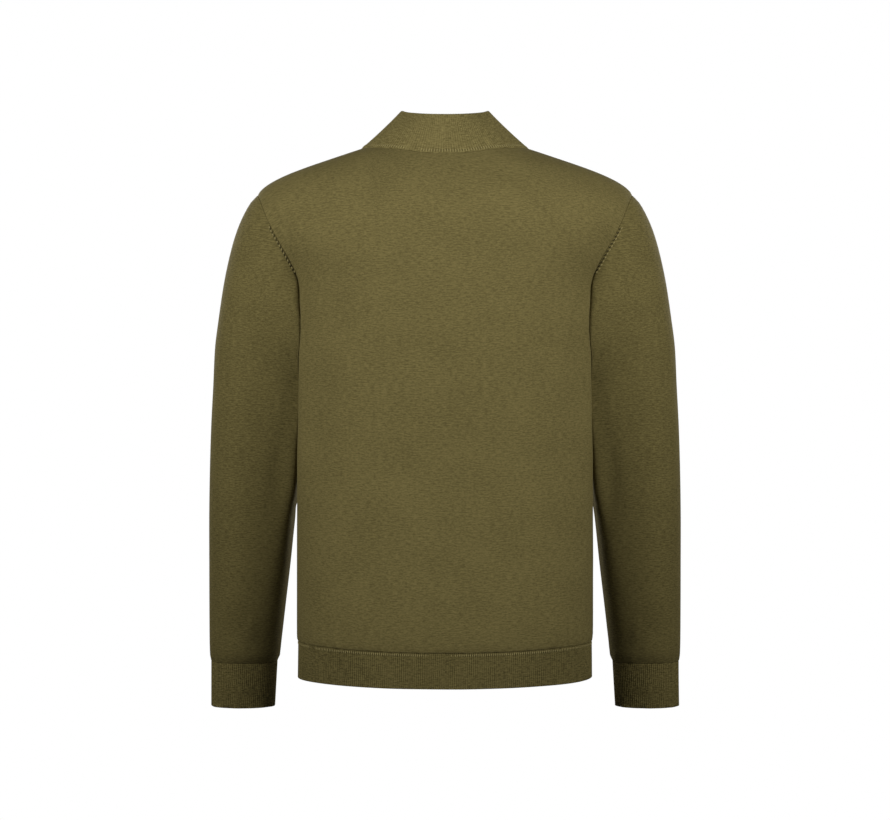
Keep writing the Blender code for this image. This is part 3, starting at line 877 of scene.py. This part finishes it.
def shell_piece(name, shell, material, closed, mirror=1):
    """A closed shell from its outer and inner points. A closed one runs round as a tube."""
    points = np.concatenate((shell["outer"], shell["inner"][::-1]))
    flat = np.concatenate((shell["flat"], shell.get("inner_flat", shell["flat"])[::-1]))
    rows, columns = points.shape[:2]
    faces, corners = grid_faces(rows, columns, True, closed)
    places = at_corners(flat, corners)
    if not closed:
        strip = np.arange(len(shell["outer"]) - 1)
        across = rows - 1 - strip
        for edge in (0, columns - 1):
            side = np.column_stack((strip, strip + 1, across - 1, across)) * columns + edge
            faces = np.concatenate((faces, side))
            ends = ((strip, edge), (strip + 1, edge), (across - 1, edge), (across, edge))
            places = np.concatenate((places, at_corners(flat, ends)))
    return mesh_piece(name, points.reshape(-1, 3), faces, places, material, mirror)


RIDGE_SIDES = 10


def ridge_piece(name, path, normals, size, material, closed, mirror=1):
    """A rounded ridge along a path, such as the sewn edges inside a seam. Size is its width
    and its height."""
    width, height = size
    if closed:
        onward = np.roll(path, -1, axis=0) - np.roll(path, 1, axis=0)
        taper = np.ones(len(path))
    else:
        onward = np.gradient(path, axis=0)
        taper = np.where((np.arange(len(path)) % (len(path) - 1)) == 0, 0.02, 1.0)
    aside = unit(np.cross(unit(onward), normals))
    turn = turns(RIDGE_SIDES)
    across = np.cos(turn)[None, :, None] * width / 2 * taper[:, None, None]
    above = np.sin(turn)[None, :, None] * height / 2 * taper[:, None, None]
    points = path[:, None] + across * aside[:, None] + above * normals[:, None]
    rows, columns = points.shape[:2]
    faces, corners = grid_faces(rows, columns, closed, True)
    along = length_along(path, 0)
    along = np.append(along, along[-1] + along[1]) if closed else along
    around = np.arange(columns + 1) * width / columns * 2
    flat = np.stack(np.broadcast_arrays(around[None, :], along[:, None]), axis=-1)
    places = at_corners(flat, corners)
    return mesh_piece(name, points.reshape(-1, 3), faces, places, material, mirror)


STITCH_ROWS, STITCH_SIDES = 5, 8


def stitches_piece(name, places, along, normals, size, material):
    """Many small rounded stitches as one mesh. Size is a stitch's length, width and height."""
    length, width, height = (value / 2 for value in size)
    rise = np.linspace(0, np.pi, STITCH_ROWS + 1)[:, None, None]
    turn = turns(STITCH_SIDES)[:, None]
    along = unit(along - np.sum(along * normals, axis=1, keepdims=True) * normals)
    parts = (places, along, np.cross(normals, along), normals)
    middle, forward, side, up = (part[:, None, None] for part in parts)
    across = width * np.cos(turn) * side + height * np.sin(turn) * up
    radius = np.maximum(np.sin(rise), 0.05)
    points = middle + length * np.cos(rise) * forward + radius * across
    faces, corners = grid_faces(STITCH_ROWS + 1, STITCH_SIDES, False, True)
    first = np.arange(len(places))[:, None, None] * (STITCH_ROWS + 1) * STITCH_SIDES
    flat = np.stack([np.column_stack((column, row)) for row, column in corners], axis=1)
    flat = np.tile(flat * (width, length), (len(places), 1, 1))
    return mesh_piece(name, points.reshape(-1, 3), (faces + first).reshape(-1, 4), flat, material)


# ---- materials ----
# Width and height of what varies over the flat cloth.
YARN_SIZE = (0.0075, 0.0017)
FIBRE_SIZE = (0.0030, 0.0013)
CLOUD_SIZE = (0.060, 0.045)
PATCH_SIZE = (0.022, 0.012)  # of the patches where the painted shade between ribs and the painted light on them are strongest
WANDER_SIZE = (0.012, 0.012)  # over which the rows of stitches wander
STITCH_SIZE = (0.0015, 0.00115)
STITCH_RELIEF = 0.0002  # by which the stitches stand out


class Graph:
    """A few short ways to add shader nodes."""

    def __init__(self, material):
        self.tree = material.node_tree

    def node(self, kind, inputs=(), **settings):
        made = self.tree.nodes.new(kind)
        for key, value in settings.items():
            setattr(made, key, value)
        for socket, value in dict(inputs).items():
            if isinstance(value, bpy.types.NodeSocket):
                self.tree.links.new(value, made.inputs[socket])
            else:
                made.inputs[socket].default_value = value
        return made

    def math(self, operation, *values, clamp=False):
        inputs = dict(enumerate(values))
        return self.node("ShaderNodeMath", inputs, operation=operation, use_clamp=clamp).outputs[0]

    def times(self, value, factor):
        return self.math("MULTIPLY", value, factor)

    def about_zero(self, value):
        return self.math("SUBTRACT", value, 0.5)

    def part(self, vector, axis):
        return self.node("ShaderNodeSeparateXYZ", {"Vector": vector}).outputs[axis]

    def moved(self, vector, **settings):
        inputs = {"Vector": vector, **settings}
        return self.node("ShaderNodeMapping", inputs).outputs["Vector"]

    def grains(self, cloth, size, detail=1.0):
        """Noise from 0 to 1 whose grains have this width and height in metres."""
        placed = self.moved(cloth, Scale=(1 / size[0], 1 / size[1], 1))
        inputs = {"Vector": placed, "Scale": 1.0, "Detail": detail, "Roughness": 0.5}
        return self.node("ShaderNodeTexNoise", inputs).outputs["Fac"]


def stitch_height(graph, cloth, wale, wandering):
    """Height from 0 to 1 of rows of V stitches whose width is the wale."""
    wander = graph.about_zero(graph.grains(cloth, WANDER_SIZE, detail=2.0))
    drift = graph.times(wander, wandering)
    across = graph.math("ADD", graph.math("DIVIDE", graph.part(cloth, "X"), wale), drift)
    up = graph.math("ADD", graph.math("DIVIDE", graph.part(cloth, "Y"), STITCH_SIZE[1]), drift)
    place = graph.math("SUBTRACT", graph.times(graph.math("FRACT", across), 2), 1)
    side = graph.math("ABSOLUTE", place)
    leg = graph.math("SINE", graph.times(side, np.pi))
    slanted = graph.math("SUBTRACT", up, graph.times(side, 0.55))
    loop = graph.math("SINE", graph.times(slanted, 2 * np.pi))
    body = graph.math("POWER", graph.math("MAXIMUM", leg, 0.001), 0.7)
    return graph.times(body, graph.math("MULTIPLY_ADD", loop, 0.22, 0.72))


def painted_rib_shade(graph, cloth, wale, painted_furrow_shade):
    """Painted shade between two ribs and painted light on each rib, stronger in patches."""
    turn = graph.times(graph.part(cloth, "X"), 2 * np.pi / wale)
    patch = graph.about_zero(graph.grains(cloth, PATCH_SIZE))
    patch = graph.math("MULTIPLY_ADD", patch, 5.0, 0.6, clamp=True)
    return graph.times(graph.math("COSINE", turn), graph.times(patch, painted_furrow_shade))


def set_shader(material, values):
    shader = material.node_tree.nodes["Principled BSDF"]
    for socket, value in values.items():
        shader.inputs[socket].default_value = value
    return shader


def knit(name, color, contrast, wale=STITCH_SIZE[0], painted_furrow_shade=0.0):
    """Matt wool of mixed light and dark fibres, knitted in V stitches. The contrast is between
    those fibres. Above 0, the painted furrow shade darkens the colour between two ribs, as
    painted shade, and lightens it on each rib, as painted light. The ribs are as wide as a stitch."""
    material = bpy.data.materials.new(name)
    material.use_nodes = True
    graph = Graph(material)
    cloth = graph.node("ShaderNodeUVMap", uv_map=UV_NAME).outputs["UV"]
    if painted_furrow_shade:
        cloth = graph.moved(cloth, Location=(wale / 2, 0, 0))
    stitches = stitch_height(graph, cloth, wale, 0.0 if painted_furrow_shade else 1.2)
    yarn, fibre = graph.grains(cloth, YARN_SIZE), graph.grains(cloth, FIBRE_SIZE)
    cloud = graph.grains(cloth, CLOUD_SIZE, detail=2)
    blend = 0.5
    for part, weight in ((yarn, 1.7), (fibre, 1.5), (cloud, 0.5), (stitches, 0.30)):
        blend = graph.math("MULTIPLY_ADD", graph.about_zero(part), weight, blend)
    if painted_furrow_shade:
        # painted shade darkens the colour between two ribs, and painted light lightens it on each
        # rib
        blend = graph.math("SUBTRACT", blend, painted_rib_shade(graph, cloth, wale, painted_furrow_shade))
    ramp = graph.node("ShaderNodeValToRGB", {"Fac": graph.math("ADD", blend, 0.0, clamp=True)})
    dark, light = ramp.color_ramp.elements
    swing = contrast * np.array((0.50, 0.51, 0.56))
    dark.color = (*(np.array(color) * (1 - swing)), 1)
    light.color = (*(np.array(color) * (1 + swing)), 1)
    grain = graph.math("MULTIPLY_ADD", fibre, 0.35, stitches)
    inputs = {"Height": grain, "Strength": 0.8, "Distance": STITCH_RELIEF}
    bump = graph.node("ShaderNodeBump", inputs)
    values = {
        "Roughness": 0.92,
        "Specular IOR Level": 0.15,
        "Sheen Weight": 0.04,
        "Sheen Roughness": 0.6,
        "Sheen Tint": (*(min(1, value * 4) for value in color), 1),
    }
    shader = set_shader(material, values)
    graph.tree.links.new(ramp.outputs["Color"], shader.inputs["Base Color"])
    graph.tree.links.new(bump.outputs["Normal"], shader.inputs["Normal"])
    return material


def plain(name, color, glow):
    material = bpy.data.materials.new(name)
    material.use_nodes = True
    full = (*color, 1)
    values = {"Base Color": full, "Emission Color": full, "Emission Strength": glow}
    set_shader(material, {"Roughness": 0.9, **values})
    return material


SEAM_RIDGE = (0.0052, 0.0024)  # width and height of the sewn edges inside a seam
NECK_RIDGE = (0.0046, 0.0022)
RIDGE_SINK = 0.0004  # by which a ridge lies in the cloth's inner face
SIDE_RIDGE_END = 0.002  # below the underarm, where the side seams' ridges end
SLEEVE_RIDGE_ROWS = slice(8, -8)  # of the sleeve, over which its seam's ridge runs


def add_ridge(name, points, normals, material, slot, closed, mirror, wall, size):
    """A ridge of sewn edges on the inner face below these outer points."""
    path = points - (wall + size[1] / 2 - RIDGE_SINK) * normals
    dress(ridge_piece(name, path, normals, size, material, closed, mirror), slot)


def body_ridges(panels, material):
    """The ridges inside the shoulder and side seams, on both sides."""
    back, front = panels[BACK], panels[FRONT]
    side_rows = back["points"][:, 0, 2] < UNDERARM - SIDE_RIDGE_END
    top = slice(0, len(EDGE_STEPS) + SIDE_COLUMNS)
    rest = (JERSEY_WALL, SEAM_RIDGE)
    for word, mirror in (("left", LEFT), ("right", RIGHT)):
        for seam, pick in (("shoulder", (-1, top)), ("side", (side_rows, 0))):
            points = (back["points"][pick] + front["points"][pick]) / 2
            normals = unit(back["normals"][pick] + front["normals"][pick])
            name = f"{seam}_seam_{word}"
            add_ridge(name, points, normals, material, "body_knit", False, mirror, *rest)


def sleeve_ridges(sleeve, word, mirror, material):
    """The ridges inside a sleeve's armhole seam and the seam along its underside."""
    under = (SLEEVE_RIDGE_ROWS, sleeve["opposite"])
    rest = (mirror, JERSEY_WALL, SEAM_RIDGE)
    for seam, pick, closed in (("armhole", (0, slice(None)), True), ("sleeve", under, False)):
        points, normals = sleeve["points"][pick], sleeve["normals"][pick]
        name = f"{seam}_seam_{word}"
        add_ridge(name, points, normals, material, "sleeve_knit", closed, *rest)


def band_ridge(name, band, material, slot, wall, size=SEAM_RIDGE, mirror=1):
    """The ridge inside the seam of a ribbed band."""
    points, normals = (band[part][0, ::RIB_POINTS] for part in ("points", "normals"))
    add_ridge(name, points, normals, material, slot, True, mirror, wall, size)


MARK_STEP = 0.0054  # between two fashioning marks
MARK_INSET = 0.0018  # of the marks from the armhole seam, on the sleeve
MARK_LOOP = (0.0032, 0.0016, 0.0016)  # length, width and height
MARK_EYELET = (0.0036, 0.0020, 0.0010)
LOOP_SHIFT = (0.5 * MARK_STEP, 0.0010, 0.0015)  # along the row, aside and up from a mark
EYELET_SHIFT = (0.0, -0.0002, 0.0001)
MARK_LEAN = 0.35  # aside, by length along the row
MARK_LOWEST = -0.1650
MARK_HIGHEST = -0.1040


def fashioning_marks(sleeve, side, mirror):
    """Places, directions and normals of the marks down one side of a sleeve's top edge."""
    down = length_along(sleeve["points"], 0)
    inset = np.full_like(down[:1], MARK_INSET)
    path, ups = (at_lengths(sleeve[name], down, inset)[0] for name in ("outer", "normals"))
    on_side = side * path[:, 1] > sleeve["points"][0, sleeve["opposite"], 1]
    keep = on_side & (path[:, 2] > MARK_LOWEST) & (path[:, 2] < MARK_HIGHEST)
    order = np.argsort(path[keep, 2])
    path, ups = path[keep][order], ups[keep][order]
    along = length_along(path, 0)
    steps = np.arange(0.0, along[-1], MARK_STEP)
    places, ups = on_path(steps, along, path), unit(on_path(steps, along, ups))
    flip = np.array((mirror, 1, 1))
    return places * flip, unit(np.gradient(places, axis=0)) * flip, ups * flip


COLLAR_RIB_HEAD = (0.0048, 0.0014, 0.0007)  # length, width and height of a rib's first stitch
HEM_RIB_HEAD = (0.0030, 0.0013, 0.0006)
RIB_HEAD_ROW = 5  # of a band, on which those stitches lie


def rib_heads(name, band, size, material, seed):
    """The first stitch of each rib, where it is linked to the cloth. They stand out in
    places, and lie level with the ribs in others."""
    picked = band["outer"][RIB_HEAD_ROW, ::RIB_POINTS]
    normals = band["normals"][RIB_HEAD_ROW, ::RIB_POINTS]
    onward = band["outer"][RIB_HEAD_ROW + 1, ::RIB_POINTS] - picked
    chance = np.random.default_rng(seed)
    turn = turns(len(picked))
    waves = sum(np.sin(number * turn + chance.uniform(0, 2 * np.pi)) for number in (4, 7, 11))
    raised = 0.0001 + 0.0002 * waves + chance.uniform(-0.0001, 0.0001, len(picked))
    places = picked + np.minimum(raised, 0.0003)[:, None] * normals
    return stitches_piece(name, places, onward, normals, size, material)


# ---- stage, light and camera ----
CAMERA_DISTANCE = 2.80
CAMERA_HEIGHT = -0.3393
FRAME_WIDTH = 1.157  # of the picture, at the origin
SENSOR_WIDTH = 36.0  # mm
FLOOR_HEIGHT = -1.75
FLOOR_RADIUS = 3.4
LIGHT_SIZE = (0.8, 0.6)
LIGHT_HEIGHT = 0.14


def add_camera():
    camera = bpy.data.cameras.new("camera")
    camera.sensor_fit = "HORIZONTAL"
    camera.sensor_width = SENSOR_WIDTH
    camera.lens = SENSOR_WIDTH * CAMERA_DISTANCE / FRAME_WIDTH
    camera.clip_end = 50
    holder = add_object("camera", camera)
    holder.location = (0, CAMERA_DISTANCE, CAMERA_HEIGHT)
    holder.rotation_euler = (np.pi / 2, 0, np.pi)
    bpy.context.scene.camera = holder


def add_softbox(name, place, target, power):
    """A soft rectangular light that looks from a place at a target."""
    light = bpy.data.lights.new(name, "AREA")
    light.shape = "RECTANGLE"
    light.size, light.size_y = LIGHT_SIZE
    light.energy = power
    holder = add_object(name, light)
    towards = unit(np.array(target, dtype=float) - np.array(place, dtype=float))
    right = unit(np.cross(towards, (0, 0, 1)))
    turned = np.column_stack((right, np.cross(right, towards), -towards))
    holder.matrix_world = Matrix.Translation(place) @ Matrix(turned.tolist()).to_4x4()
    holder.visible_camera = False


def add_world(shown, lit):
    """White where the camera looks past the object, and a weaker light all round."""
    world = bpy.data.worlds.new("studio")
    world.use_nodes = True
    tree = world.node_tree
    background = tree.nodes["Background"]
    path = tree.nodes.new("ShaderNodeLightPath")
    mix = tree.nodes.new("ShaderNodeMapRange")
    mix.inputs["To Min"].default_value = lit
    mix.inputs["To Max"].default_value = shown
    tree.links.new(path.outputs["Is Camera Ray"], mix.inputs["Value"])
    tree.links.new(mix.outputs["Result"], background.inputs["Strength"])
    background.inputs["Color"].default_value = (1, 1, 1, 1)
    bpy.context.scene.world = world


def add_floor():
    shape = bmesh.new()
    bmesh.ops.create_circle(shape, cap_ends=True, segments=96, radius=FLOOR_RADIUS)
    mesh = bpy.data.meshes.new("floor")
    shape.to_mesh(mesh)
    shape.free()
    mesh.materials.append(plain("pale_floor", (0.80, 0.80, 0.79), glow=0.62))
    floor = add_object("floor", mesh)
    floor.visible_diffuse = False  # its light would fill the shade that the studio keeps
    floor.location = (0, 0, FLOOR_HEIGHT)


def add_stage():
    add_camera()
    add_world(shown=1.0, lit=0.04)
    add_floor()
    for x, word in ((-0.98, "right"), (0.98, "left")):
        add_softbox(f"back_{word}", (x, 0.98, LIGHT_HEIGHT), (0, 0.1, 0.05), 15.0)
        add_softbox(f"front_{word}", (0.75 * x, -1.15, LIGHT_HEIGHT), (0, -0.1, 0.05), 13.5)
    bpy.context.scene.view_settings.view_transform = "Standard"


# ---- the sweater ----
def dress(piece, slot, *nodes):
    """A piece that rides with the garment and stands for these solids."""
    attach(piece, "root")
    if nodes:
        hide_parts(*nodes)


def add_cloth(name, shell, material, slot, node, closed=True, mirror=1):
    """A knitted piece that stands for a solid."""
    piece = shell_piece(name, shell, material, closed, mirror)
    dress(piece, slot, node)


def add_body(panels, material):
    for side, node in ((BACK, "back"), (FRONT, "front")):
        name, rests_on = f"{node}_panel", ["collar_tube"]
        add_cloth(name, panels[side], material, "body_knit", node, closed=False)
    body_ridges(panels, material)


def add_marks(shell, word, mirror, light, dark):
    """The fashioning marks on both sides of a sleeve's top: raised loops, made lighter as a
    painted highlight, between eyelets, small dark stitches that are painted shade.
    """
    kinds = (
        ("marks", LOOP_SHIFT, MARK_LOOP, light),
        # the eyelets' dark colour is painted shade in their holes
        ("eyelets", EYELET_SHIFT, MARK_EYELET, dark),
    )
    for side, side_word in ((BACK, "back"), (FRONT, "front")):
        places, along, ups = fashioning_marks(shell, side, mirror)
        aside = np.cross(ups, along) * -side
        lean = along + MARK_LEAN * aside
        for kind, shift, size, yarn in kinds:
            moved = places + shift[0] * along + shift[1] * aside + shift[2] * ups
            name = f"{kind}_{side_word}_{word}"
            dress(stitches_piece(name, moved, lean, ups, size, yarn), "sleeve_knit")


def add_sleeve(panels, word, mirror, folds, seed, materials):
    shell = sleeve_shell(panels, folds, seed)
    # the marks' loops are lighter, a painted highlight, and the eyelets are dark, painted shade
    add_marks(shell, word, mirror, materials["painted_highlight_knit"], materials["painted_shade_knit"])
    knitted, name, node = materials["sleeve_knit"], f"{word}_sleeve", f"sleeve_{word}"
    add_cloth(name, shell, knitted, "sleeve_knit", node, mirror=mirror)
    sleeve_ridges(shell, word, mirror, knitted)

    length, ribbed = CUFF_SEAM - CUFF_BOTTOM, materials["cuff_rib"]
    shell = ribbed_shell(cuff_ring, length, CUFF_RIBS, RIB_WALL, seed=seed, wave=0.0004)
    node = f"cuff_{word}"
    add_cloth(f"{word}_cuff", shell, ribbed, "band_rib", node, mirror=mirror)
    band_ridge(f"cuff_seam_{word}", shell, ribbed, "band_rib", RIB_WALL, mirror=mirror)


def add_hem(material, light):
    length = HEM_SEAM - HEM_BOTTOM
    shell = ribbed_shell(hem_ring, length, HEM_RIBS, RIB_WALL, seed=3, wave=0.0006)
    add_cloth("hem_tube", shell, material, "band_rib", "hem_band")
    band_ridge("hem_seam", shell, material, "band_rib", RIB_WALL)
    # the ribs' first stitches are lighter than the yarn, a painted highlight
    dress(rib_heads("hem_rib_heads", shell, HEM_RIB_HEAD, light, 21), "band_rib")


def add_collar(panels, material, light):
    sizes = (COLLAR_LENGTH, COLLAR_RIBS, COLLAR_WALL)
    shell = ribbed_shell(collar_rings(panels), *sizes, level_rows=False)
    slot, rests_on = "collar_rib", ["back_panel"]
    add_cloth("collar_tube", shell, material, slot, "collar")
    band_ridge("neck_seam", shell, material, slot, COLLAR_WALL, NECK_RIDGE)
    # the ribs' first stitches are lighter than the yarn, a painted highlight
    dress(rib_heads("collar_rib_heads", shell, COLLAR_RIB_HEAD, light, 22), slot)


def build():
    materials = {
        # One yarn for the body, sleeves, cuffs, hem band and collar. Its colour is darker on the
        # sleeves, cuffs and hem band, as painted shade, and lighter on the collar, as painted
        # light.
        "body_knit": knit("body_knit", (0.145, 0.118, 0.041), 0.56),
        "sleeve_knit": knit("sleeve_knit", (0.128, 0.104, 0.0350), 0.66),
        # the ribbed bands' colour also carries painted shade between the ribs and painted light on
        # them
        "hem_rib": knit("hem_rib", (0.112, 0.091, 0.031), 0.85, wale=RIB_PITCH, painted_furrow_shade=0.38),
        "cuff_rib": knit("cuff_rib", (0.127, 0.103, 0.035), 1.15, wale=RIB_PITCH, painted_furrow_shade=0.36),
        "collar_rib": knit("collar_rib", (0.165, 0.135, 0.0475), 0.74, wale=RIB_PITCH, painted_furrow_shade=0.2),
        # painted highlight, lighter than the yarn: the fashioning loops and the ribs' first
        # stitches
        "painted_highlight_knit": knit("painted_highlight_knit", (0.290, 0.241, 0.099), 0.50),
        # painted shade: the dark eyelets of the fashioning marks
        "painted_shade_knit": knit("painted_shade_knit", (0.040, 0.033, 0.013), 0.50),
    }
    panels = {side: panel_shell(side) for side in (BACK, FRONT)}
    add_body(panels, materials["body_knit"])
    add_sleeve(panels, "left", LEFT, LEFT_SLEEVE_FOLDS, 11, materials)
    add_sleeve(panels, "right", RIGHT, RIGHT_SLEEVE_FOLDS, 12, materials)
    add_hem(materials["hem_rib"], materials["painted_highlight_knit"])
    add_collar(panels, materials["collar_rib"], materials["painted_highlight_knit"])


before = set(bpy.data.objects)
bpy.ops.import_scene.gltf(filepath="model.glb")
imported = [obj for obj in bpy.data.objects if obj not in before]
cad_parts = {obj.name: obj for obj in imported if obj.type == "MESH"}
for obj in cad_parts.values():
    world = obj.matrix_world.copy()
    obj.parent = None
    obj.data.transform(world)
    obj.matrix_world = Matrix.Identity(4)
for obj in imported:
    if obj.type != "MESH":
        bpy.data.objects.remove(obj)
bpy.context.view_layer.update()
add_stage()
build()
